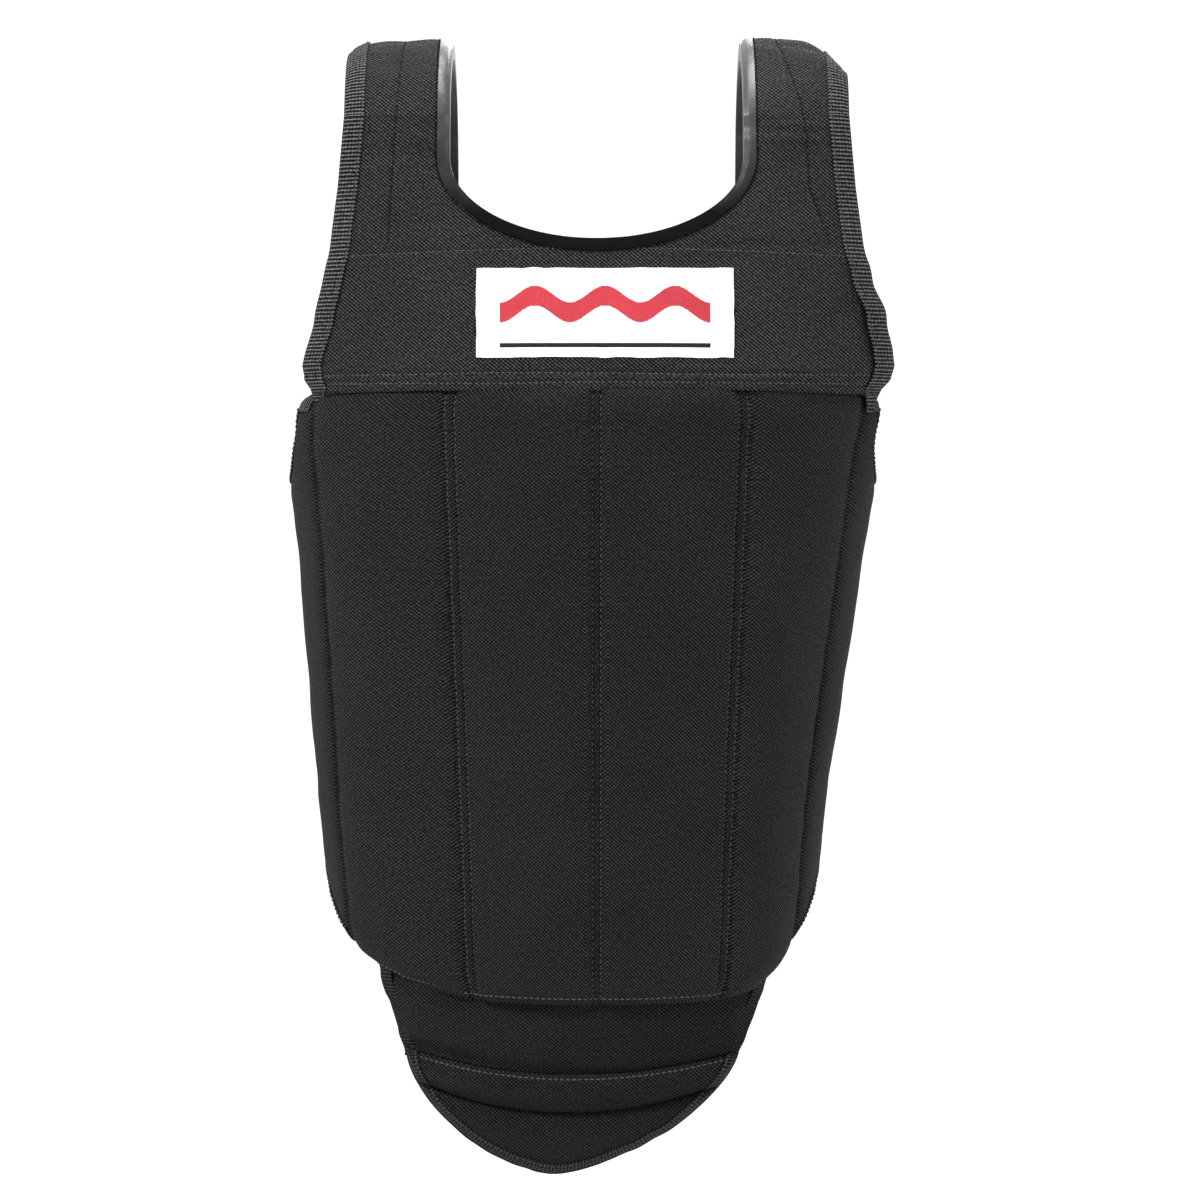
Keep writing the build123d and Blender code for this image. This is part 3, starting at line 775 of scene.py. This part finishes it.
def neck_edge(inset, lift):
    """Points round the whole neckline, starting and ending at the middle of the back."""
    radius = STRAP_INNER_X - 1.0 + inset
    deep = NECK_DEPTH - 1.0 + inset

    def scoop(front, start, stop):
        theta = np.linspace(start, stop, 90)
        z = yoke_ends(front)[1] - deep * np.cos(theta)
        return yoke_tape(radius * np.sin(theta), z, front, lift)

    def straight(front, sign, rising):
        z = np.linspace(yoke_ends(front)[1], STRAP_SEAM_Z, 16)[1:-1]
        z = z if rising else z[::-1]
        return yoke_tape(np.full(z.shape, sign * radius), z, front, lift)

    def over_shoulder(sign, start, stop):
        return strap_tape(sign * radius, np.linspace(start, stop, 120), lift)

    quarter = math.pi / 2
    return chain(
        scoop(False, 0, quarter),
        straight(False, 1, True),
        over_shoulder(1, -ARCH_END, ARCH_END),
        straight(True, 1, False),
        scoop(True, quarter, -quarter),
        straight(True, -1, True),
        over_shoulder(-1, ARCH_END, -ARCH_END),
        straight(False, -1, False),
        scoop(False, -quarter, 0),
    )


def wing_edge(sign, inset, lift):
    """Points along a wing's edge: its top, its end and its foot."""
    end = WING_END + 0.5 - inset / WING_DEGREE

    def run(angle, z):
        reach = over_angle(BODY, angle, z, PANEL_THICK)[..., 1]
        t = TAPE_INSIDE
        if lift is not None:
            t = wing_height(angle, z, wing_top(reach), wing_foot(reach)) + lift
        return over_angle(BODY, sign * angle, z, t)

    angle = np.linspace(WING_SEAM + 1, end, 130)
    top_run = run(angle, wing_top_at(angle) + 1.0 - inset)
    top_z = float(wing_top(WING_END_Y)) + 1.0 - inset
    foot_z = float(wing_foot(WING_END_Y)) - 1.0 + inset
    down = np.linspace(top_z, foot_z, 150)[1:-1]
    end_run = run(np.full(down.shape, end), down)
    foot_run = run(angle, wing_foot_at(angle) - 1.0 + inset)[::-1]
    return chain(top_run, end_run, foot_run)


def tape_on(name, edge, flange, material, body, nodes=()):
    """A tape folded over an edge, whose function gives points at an inset and a lift."""
    insets = np.linspace(0, flange, TAPE_ROWS)
    rows = [edge(d, 1.0) for d in insets[::-1]] + [edge(d, None) for d in insets]
    points = np.stack(rows, 0)
    tape = cloth_sheet(name, points, TAPE_THICK, [material], tape_uv(points))
    return finish_piece(tape, body, nodes)


tape_on("neck_tape", neck_edge, 7.0, NECK_TAPE, "vest", ("neck_binding",))
for side_name, sign in SIDES:
    edge = partial(armhole_edge, sign)
    nodes = (f"{side_name}_armhole_binding",)
    tape_on(f"{side_name}_armhole_tape", edge, 12.0, WEBBING, "vest", nodes)
    edge = partial(wing_edge, sign)
    nodes = (f"{side_name}_wing_binding",)
    wing_tape = tape_on(f"{side_name}_wing_tape", edge, 10.5, WEBBING, None, nodes)
    hang_wing(wing_tape, sign)


# Flex band and groin flap -------------------------------


def flap_lean(z):
    """How far the flap hangs towards the wearer's right at a height."""
    return np.interp(z, (-675, -648, -602, -565, -540), (-27, -21, -15, -14, -10))


def apron_half(z):
    """Half width of the flex band at a height."""
    return np.interp(z, (-605, -560, -540), (98.5, 115, 124))


def flap_head(x):
    """Height of the flap's top seam."""
    return FLAP_TOP_Z - 12 * (1 - (x / FLAP_HALF) ** 2)


def flap_foot(x):
    """Height of the flap's rounded foot."""
    share = np.clip(np.abs(x) / FLAP_HALF, 0, 1)
    return FLAP_TOP_Z - FLAP_DROP * (1 - share**FLAP_ROUND) ** (1 / FLAP_ROUND)


def flap_valley(x):
    """Height of the seam between the flap's two rolls."""
    return FLAP_VALLEY_Z + 19 * (x / FLAP_HALF) ** 2


def flap_height(x, z):
    """Height of the flap's canvas: two padded rolls between three seams."""
    to_seam = np.minimum(flap_head(x) - z, np.abs(z - flap_valley(x)))
    nearest = np.minimum(to_seam, z - flap_foot(x))
    t = 8 + (FLAP_THICK - 8) * rise(np.clip(nearest, 0, None), 15)
    return t + 0.9 * creases(x + 300, z, 34.0, 71) * rise(nearest, 12)


def apron_height(x, z):
    """Height of the flex band's canvas."""
    from_head = z - flap_head(x)
    t = 13.0 - 4.5 * bump(from_head, 5) + 1.2 * creases(x, z, 40.0, 77)
    return t - 3.0 * bump(z - channel_foot(x), 6)


def apron_surface(x, z, t):
    """The flex band's surface: the front panel's at its head, turning into the flap's."""
    points = over_x(FLAP, x, z, t)
    lean = -15.0 * smooth((np.abs(x) - 70) / 40)
    panel = over_x(BODY, x - lean, z, t)
    points[..., 1] += (panel[..., 1] - points[..., 1]) * smooth((z + 604) / 46)
    return points


across = np.linspace(-1, 1, 260)[None, :]
down = np.linspace(0, 1, 70)[:, None]
apron_top = channel_foot(flap_lean(-560) + apron_half(-560) * across) + 8
apron_z = apron_top + (flap_head(across * FLAP_HALF) + 0.6 - apron_top) * down
apron_x = flap_lean(apron_z) + apron_half(apron_z) * across
# The flex band's underside comes down to the lining along the flap's top seam
from_flap = apron_z - flap_head(apron_x - flap_lean(FLAP_TOP_Z))
apron = slab(
    "flex_canvas",
    apron_surface(apron_x, apron_z, apron_height(apron_x, apron_z)),
    apron_surface(apron_x, apron_z, 6.5 - 6.0 * bump(from_flap, 8)),
    [FLAP_CLOTH],
    uv_at(apron_x, apron_z),
)
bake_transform(apron)
finish_piece(apron, None, ("flex_band",))

flap_u = np.sin(np.linspace(-0.499, 0.499, 300) * math.pi)[None, :] * FLAP_HALF
flap_v = np.linspace(0, 1, 110)[:, None]
flap_z = flap_head(flap_u) + (flap_foot(flap_u) - flap_head(flap_u)) * flap_v
flap_x = flap_u + flap_lean(flap_z)


def flap_slab(name, low, high, material):
    """One layer of the flap between two heights."""
    top, under = (over_x(FLAP, flap_x, flap_z, t) for t in (high, low))
    return slab(name, top, under, [material], uv_at(flap_x, flap_z))


flap_top = flap_height(flap_u + 0 * flap_z, flap_z)
flap_cover = flap_slab("flap_canvas", CANVAS_UNDER, flap_top, FLAP_CLOTH)
flap_nodes = ("flap_cover", "flap_roll_foam_upper", "flap_roll_foam_lower")
finish_piece(flap_cover, "flap", flap_nodes)
flap_inside = flap_slab("flap_inside", 0.0, CLOTH, LINING)
finish_piece(flap_inside, "flap", ("flap_lining",))


def flap_edge(inset, lift):
    """Points round the flap's foot, at an inset."""
    u = np.sin(np.linspace(-0.49, 0.49, 260) * math.pi) * FLAP_HALF
    x = u * (1 - (inset - TAPE_PROUD) / FLAP_HALF)
    foot = FLAP_TOP_Z + (flap_foot(u) - FLAP_TOP_Z) * (1 - (inset - TAPE_PROUD) / FLAP_DROP)
    foot = foot + 0.5 * wander(u / 8, u * 0, 83)
    t = TAPE_INSIDE if lift is None else np.clip(flap_height(x, foot), 6, 30) + lift
    return over_x(FLAP, x + flap_lean(foot), foot, t)


tape_on("flap_tape", flap_edge, 7.0, DARK_WEBBING, "flap", ("flap_binding",))


def apron_edge(sign, inset, lift):
    """Points along one side of the flex band, at an inset."""
    z = np.linspace(-547, -607, 60)
    x = flap_lean(z) + sign * (apron_half(z) + TAPE_PROUD - inset)
    x = x + 0.9 * wander(z / 7, z * 0 + sign, 91)
    t = 6.0 if lift is None else 11.5 - 2.6 * smooth((-575 - z) / 28) + lift
    return apron_surface(x, z, t)


for side_name, sign in SIDES:
    edge = partial(apron_edge, sign)
    flex_tape = tape_on(f"{side_name}_flex_tape", edge, 6.5, DARK_WEBBING, None)
    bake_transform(flex_tape)


# Closure bands and spine strap at the back --------------

BANDS = {"upper": -310.0, "lower": -435.0}
# Width and thickness of a band and of the touch tapes sewn on it
BAND = (60.0, 3.0)
TOUCH = (54.0, 1.5)
# Angles from the front: where the bands start, where a peeled one is free, where all end
RIGHT_START = -112.9
LEFT_START = 111.4
BAND_END = 194.0
TOUCH_START = 168.0
TOUCH_END = 192.0
# Heights of the four layers' undersides over the wearer
RIGHT_T, LOOPS_T, HOOKS_T, LEFT_T = 6.0, 9.0, 10.8, 12.3


def strip(name, start, end, t, size, centre_z, material):
    """A flat band round the back between two angles from the front."""
    width, thick = size
    angle = np.linspace(start, end, 260)[None, :]
    share = np.linspace(-0.5, 0.5, 40)[:, None]
    z = centre_z + width * share + 0 * angle
    soft = 1 - 0.5 * (np.abs(share) * 2) ** 8
    lift = 0.4 * wander(angle / 12, share + centre_z, 101) + 0 * z
    top = over_angle(BODY, angle, z, t + thick * soft + lift)
    under = over_angle(BODY, angle, z, t + lift)
    uv = uv_at(z, angle * PANEL_DEGREE)
    if start > end:
        top, under, uv = top[:, ::-1], under[:, ::-1], uv[:, ::-1]
    return slab(name, top, under, [material], uv)


for level, centre_z in BANDS.items():
    name = f"right_band_{level}_elastic"
    right = strip(name, RIGHT_START, -BAND_END, RIGHT_T, BAND, centre_z, ELASTIC)
    finish_piece(right, "vest", (f"right_band_{level}",))
    name = f"loop_{level}_tape"
    loops = strip(name, -TOUCH_START, -TOUCH_END, LOOPS_T, TOUCH, centre_z, LOOPS)
    finish_piece(loops, "vest", (f"loop_tape_{level}",))
    name = f"left_band_{level}_elastic"
    left = strip(name, LEFT_START, BAND_END, LEFT_T, BAND, centre_z, ELASTIC)
    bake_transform(left)
    finish_piece(left, None, (f"left_band_{level}",))
    name = f"hook_{level}_tape"
    hooks = strip(name, TOUCH_START, TOUCH_END, HOOKS_T, TOUCH, centre_z, HOOKS)
    finish_piece(hooks, f"left_{level}_band", (f"hook_tape_{level}",))

# The spine strap runs from the back yoke's end to the lower band's lower edge
SPINE = ((-571.0, 124.0, 92.0), (-270.0, 149.4, 105.1), (-200.5, 155.3, 117.5))
SPINE_HALF = 25.0
SPINE_LOW, SPINE_HIGH = 2.0, 5.0
spine_z = np.linspace(SPINE[-1][0], BANDS["lower"] - BAND[0] / 2, 160)[:, None]
spine_x = np.linspace(SPINE_HALF, -SPINE_HALF, 40)[None, :] + 0 * spine_z
spine_z = spine_z + 0 * spine_x
spine_t = SPINE_HIGH - (np.abs(spine_x) / SPINE_HALF) ** 8
spine = slab(
    "spine_elastic",
    over_x(SPINE, spine_x, spine_z, spine_t, 1.0),
    over_x(SPINE, spine_x, spine_z, SPINE_LOW, 1.0),
    [ELASTIC],
    uv_at(spine_x, spine_z),
)
finish_piece(spine, "vest", ("spine_strap",))


# Chest patch --------------------------------------------

PATCH_X, PATCH_Z = 5.0, -160.0
PATCH_HALF_WIDE, PATCH_HALF_HIGH = 76.0, 26.5
MARK_HALF = 62.0
PATCH_WHITE = cloth("patch_white", 0.86, plain_weave, 0.0011, 0.00015, sheen=0.1, contrast=0.04)
PATCH_RED = cloth(
    "patch_red", 0.5, plain_weave, 0.0009, 0.0002, contrast=0.08, tint=(1, 0.09, 0.12)
)
PATCH_BLACK = cloth("patch_black", 0.015, plain_weave, 0.0009, 0.0002, contrast=0.4)


def patch_mark(x, z):
    """Which thread covers a point of the patch: 0 white, 1 red for a wave, 2 black for a rule."""
    inside = np.abs(x) < MARK_HALF
    crest = 5 + 5.0 * np.cos(x / MARK_HALF * math.tau * 1.5)
    band = (np.abs(z - crest) < 6.0) & inside
    rule = (np.abs(z + 19.5) < 1.4) & inside
    return np.where(rule, 2, np.where(band, 1, 0))


patch_u = np.linspace(-PATCH_HALF_WIDE, PATCH_HALF_WIDE, 340)[None, :]
patch_v = np.linspace(PATCH_HALF_HIGH, -PATCH_HALF_HIGH, 120)[:, None]
from_end = PATCH_HALF_WIDE - np.abs(patch_u)
from_foot = PATCH_HALF_HIGH - np.abs(patch_v)
near_edge = np.minimum(from_end, from_foot)
patch_x = PATCH_X + patch_u + 0.35 * wander(patch_v / 6, patch_u / 60, 111) * smooth(1 - from_end / 8)
patch_z = PATCH_Z + patch_v + 0.4 * wander(patch_u / 7, patch_v / 40, 113) * smooth(1 - from_foot / 8)
patch_t = yoke_height(patch_x, patch_z) + 0.9 + 0.25 * wander(patch_x / 9, patch_z / 9, 117)
patch = slab(
    "chest_label",
    over_x(YOKE, patch_x, patch_z, patch_t - 0.5 * bump(near_edge - 2, 0.8)),
    over_x(YOKE, patch_x, patch_z, patch_t - 1.6),
    [PATCH_WHITE, PATCH_RED, PATCH_BLACK],
    uv_at(patch_x, patch_z),
)
cell_u = (patch_u[0, :-1] + patch_u[0, 1:]) / 2
cell_v = (patch_v[:-1, 0] + patch_v[1:, 0]) / 2
thread = patch_mark(cell_u[None, :], cell_v[:, None]).ravel()
cover = np.zeros(len(patch.data.polygons), np.int32)
cover[: len(thread)] = thread
patch.data.polygons.foreach_set("material_index", cover)
finish_piece(patch, "vest", ("chest_patch",))


# Stitches -----------------------------------------------

STITCH_SIDES = 6
# The rings of one stitch: place along it, size, and how far it is lifted
STITCH_RINGS = ((-0.5, 0.35, -0.5), (-0.3, 1.0, 0), (0, 1.1, 0.15), (0.3, 1.0, 0), (0.5, 0.35, -0.5))
# How far stitches stand off the panel and the flap
STITCH_LIFT = 0.15


def unit(vectors):
    """The same directions, one long."""
    return vectors / np.maximum(np.linalg.norm(vectors, axis=-1, keepdims=True), 1e-9)


def stitch_row(name, points, out, body, pitch=3.6, length=2.6, radius=0.46, material=THREAD):
    """A row of sewn stitches along a run of points. out is the direction off the cloth."""
    along = run_lengths(points)
    middles = np.arange(pitch / 2, along[-1], pitch)

    def at(where, values):
        return np.stack([np.interp(where, along, values[:, k]) for k in range(3)], -1)

    centre = at(middles, points)
    before, after = np.maximum(middles - 0.5, 0), np.minimum(middles + 0.5, along[-1])
    ahead = unit(at(after, points) - at(before, points))
    up = at(middles, out)
    up = unit(up - ahead * np.sum(up * ahead, -1, keepdims=True))
    side = np.cross(ahead, up)
    verts = []
    for place, size, raised in STITCH_RINGS:
        for k in range(STITCH_SIDES):
            turn = math.tau * k / STITCH_SIDES
            ring = side * math.cos(turn) + up * math.sin(turn)
            verts.append(centre + ahead * length * place + (ring * size + up * raised) * radius)
    verts = np.stack(verts, 1)
    count = verts.shape[1]
    rings = np.arange(count).reshape(len(STITCH_RINGS), STITCH_SIDES)
    right = np.roll(rings, -1, 1)
    one = np.stack([rings[:-1], right[:-1], right[1:], rings[1:]], -1).reshape(-1, 4)
    faces = (one[None] + np.arange(len(verts))[:, None, None] * count).reshape(-1, 4)
    flat = verts.reshape(-1, 3)
    row = make_mesh(name, flat, faces, flat[:, [0, 2]] * MM, [material])
    return finish_piece(row, body)


def outward(points):
    """Directions away from the vest's upright axis."""
    return unit(points * np.array([1.0, 1.0, 0.0]))


def sew(name, points, body="vest", **kind):
    """A stitch row on a front or side surface."""
    return stitch_row(name, points, outward(points), body, **kind)


def on_yoke(x, z, lift=0.1):
    """Points on the outside of the front yoke."""
    return over_x(YOKE, x, z, yoke_height(x, z) + lift)


for side_name, sign in SIDES:
    row_z = np.linspace(FACING_FOOT_Z + 1, STRAP_SEAM_Z, 80)
    row_x = sign * facing_x(sign, row_z)
    phi = np.linspace(ARCH_END, 0.05, 90)
    strap_x = sign * facing_x(sign, STRAP_RADIUS * (np.cos(phi) - 1))
    over_strap = arch(strap_x, phi, strap_height(strap_x, phi) + 0.1)
    points = chain(on_yoke(row_x, row_z), over_strap[1:])
    away = outward(points) + np.array([0.0, 0.0, 0.6])
    stitch_row(f"{side_name}_facing_stitches", points, away, "vest", radius=0.5, material=DARK_THREAD)
row_x = np.linspace(-168, 168, 500)
for number, row_z in enumerate(HEM_ROWS_Z):
    waver = 0.6 * wander(row_x / 60, 0 * row_x, 121 + number)
    sew(f"hem_stitches_{number}", on_yoke(row_x, row_z + waver))
row_x = np.linspace(-150, 150, 400)
row_z = FACING_ROW_Z - 4 * np.abs(row_x / 150) ** 1.5
sew("facing_stitches", on_yoke(row_x, row_z), radius=0.3)


def seam_run(angle):
    """Points down the front panel at an angle."""
    z = np.linspace(-208, -566, 400)
    foot = channel_foot(over_angle(BODY, angle, PANEL_FOOT_PROBE_Z, PANEL_THICK)[..., 0])
    z = z[z > foot + 3]
    angles = np.full(z.shape, float(angle))
    return over_angle(BODY, angles, z, panel_height(angles, z, foot) + STITCH_LIFT)


for seam_name, seam in (("right", -CHANNEL_SEAM), ("middle", 0.0), ("left", CHANNEL_SEAM)):
    for number, offset in enumerate((-2.6, 2.6)):
        sew(f"{seam_name}_channel_stitches_{number}", seam_run(seam + offset / PANEL_DEGREE))
for side_name, sign in SIDES:
    sew(f"{side_name}_wing_seam_stitches", seam_run(sign * (WING_SEAM - 1.4)), radius=0.3)
foot_x = np.linspace(-125, 125, 400)
foot_y = 108.0 * np.sqrt(np.clip(1 - (foot_x / 150) ** 2, 0.02, 1))
foot_angle = np.degrees(np.arctan2(foot_x, foot_y))
foot_z = channel_foot(foot_x) + 4.5
foot_t = panel_height(foot_angle, foot_z, channel_foot(foot_x)) + STITCH_LIFT
sew("foot_stitches", over_angle(BODY, foot_angle, foot_z, foot_t))


def sew_tape(name, edge, inset, lift, body, **kind):
    """A stitch row on a folded tape, at an inset from its edge and a lift over the canvas."""
    run = edge(inset, lift)
    return stitch_row(name, run, edge(inset, lift + 1.0) - run, body, **kind)


for side_name, sign in SIDES:
    armhole = partial(armhole_edge, sign)
    sew_tape(f"{side_name}_armhole_stitches", armhole, 10.6, 1.6, "vest", radius=0.36)
    wing_edging = partial(wing_edge, sign)
    row = sew_tape(f"{side_name}_wing_stitches", wing_edging, 9.0, 1.6, None, radius=0.36)
    hang_wing(row, sign)
sew_tape("flap_tape_stitches", flap_edge, 5.8, 1.6, "flap", radius=0.3)
sew_tape("neck_stitches", neck_edge, 8.0, 0.2, "vest", radius=0.45, material=DARK_THREAD)
x = foot_x * 0.78
for number, row_z in enumerate((flap_head(x) - 2.5, flap_valley(x))):
    keep = row_z > flap_foot(x) + 9
    row_t = flap_height(x, row_z) + STITCH_LIFT
    points = over_x(FLAP, x + flap_lean(row_z), row_z, row_t)[keep]
    sew(f"flap_stitches_{number}", points, "flap")


def patch_ring(wide, high):
    """Points round a box on the patch, from its upper corner on the wearer's right."""
    corners = ((-wide, high), (wide, high), (wide, -high), (-wide, -high), (-wide, high))
    counts = (200, 60, 200, 60)
    runs = [np.linspace(*ends) for ends in zip(corners, corners[1:], counts)]
    return chain(*runs)


ring = patch_ring(PATCH_HALF_WIDE - 2.5, PATCH_HALF_HIGH - 2.3)
patch_thread = on_yoke(ring[:, 0] + PATCH_X, ring[:, 1] + PATCH_Z, 1.0)
sew("patch_stitches", patch_thread, radius=0.22, length=2.0, pitch=2.8, material=PATCH_WHITE)


# Camera, light and floor --------------------------------

CENTRE = (0.002, 0.0, -0.333)
FLOOR_Z = -1.2
# Radius and height over the floor, in metres. The first radius is nearly nothing, which
# closes the floor's middle.
FLOOR_PROFILE = ((0.0001, 0.0), (3.6, 0.0), (4.6, 0.12), (5.4, 0.6))
WALL_PROFILE = ((5.9, 1.4), (6.0, 2.6), (6.0, 5.0))
STUDIO_PROFILE = FLOOR_PROFILE + WALL_PROFILE
STUDIO_TURNS = 96


def studio():
    """A pale round floor that curves up into a pale wall."""
    around = np.linspace(0, math.tau, STUDIO_TURNS, endpoint=False)
    rings = [
        np.stack([r * np.cos(around), r * np.sin(around), FLOOR_Z + h + 0 * around], -1)
        for r, h in STUDIO_PROFILE
    ]
    verts = np.concatenate(rings) / MM
    index = np.arange(len(verts)).reshape(len(STUDIO_PROFILE), STUDIO_TURNS)
    right = np.roll(index, -1, 1)
    faces = np.stack([index[:-1], right[:-1], right[1:], index[1:]], -1).reshape(-1, 4)
    material = bpy.data.materials.new("studio_paper")
    material.use_nodes = True
    shader = material.node_tree.nodes["Principled BSDF"]
    shader.inputs["Base Color"].default_value = (0.12, 0.12, 0.12, 1)
    shader.inputs["Roughness"].default_value = 0.9
    shader.inputs["Emission Color"].default_value = (1, 1, 1, 1)
    shader.inputs["Emission Strength"].default_value = 0.95
    room = make_mesh("studio", verts, faces, np.zeros((len(verts), 2)), [material])


def aim(name, data, place):
    """A light or camera at a place, pointing at the middle of the vest."""
    obj = bpy.data.objects.new(name, data)
    obj.location = place
    obj.rotation_mode = "QUATERNION"
    obj.rotation_quaternion = (Vector(CENTRE) - Vector(place)).to_track_quat("-Z", "Y")
    bpy.context.collection.objects.link(obj)
    return obj


studio()
# Name, place, size and power of each square soft light
LIGHTS = (
    ("key", (-1.9, -1.6, 1.9), 0.9, 120),
    ("fill", (2.4, -1.6, 0.2), 1.4, 35),
    ("top", (0.0, 0.2, 2.4), 1.2, 70),
    ("rim", (0.6, 2.4, 1.0), 1.4, 45),
)
for name, place, size, power in LIGHTS:
    light = bpy.data.lights.new(name, "AREA")
    light.size = size
    light.energy = power
    aim(name, light, place)

world = bpy.data.worlds.new("studio_world")
world.use_nodes = True
world.node_tree.nodes["Background"].inputs[0].default_value = (1, 1, 1, 1)
world.node_tree.nodes["Background"].inputs[1].default_value = 0.7
bpy.context.scene.world = world
bpy.context.scene.view_settings.view_transform = "Standard"

CAMERA_PLACE = (0.002, -2.6, -0.25)
SENSOR = 36.0
# The view is this wide at this distance, both in metres
VIEW_DISTANCE = 2.53
VIEW_WIDTH = 0.72
camera_data = bpy.data.cameras.new("camera")
camera_data.sensor_width = SENSOR
camera_data.lens = SENSOR * VIEW_DISTANCE / VIEW_WIDTH
camera_data.dof.use_dof = False
bpy.context.scene.camera = aim("camera", camera_data, CAMERA_PLACE)
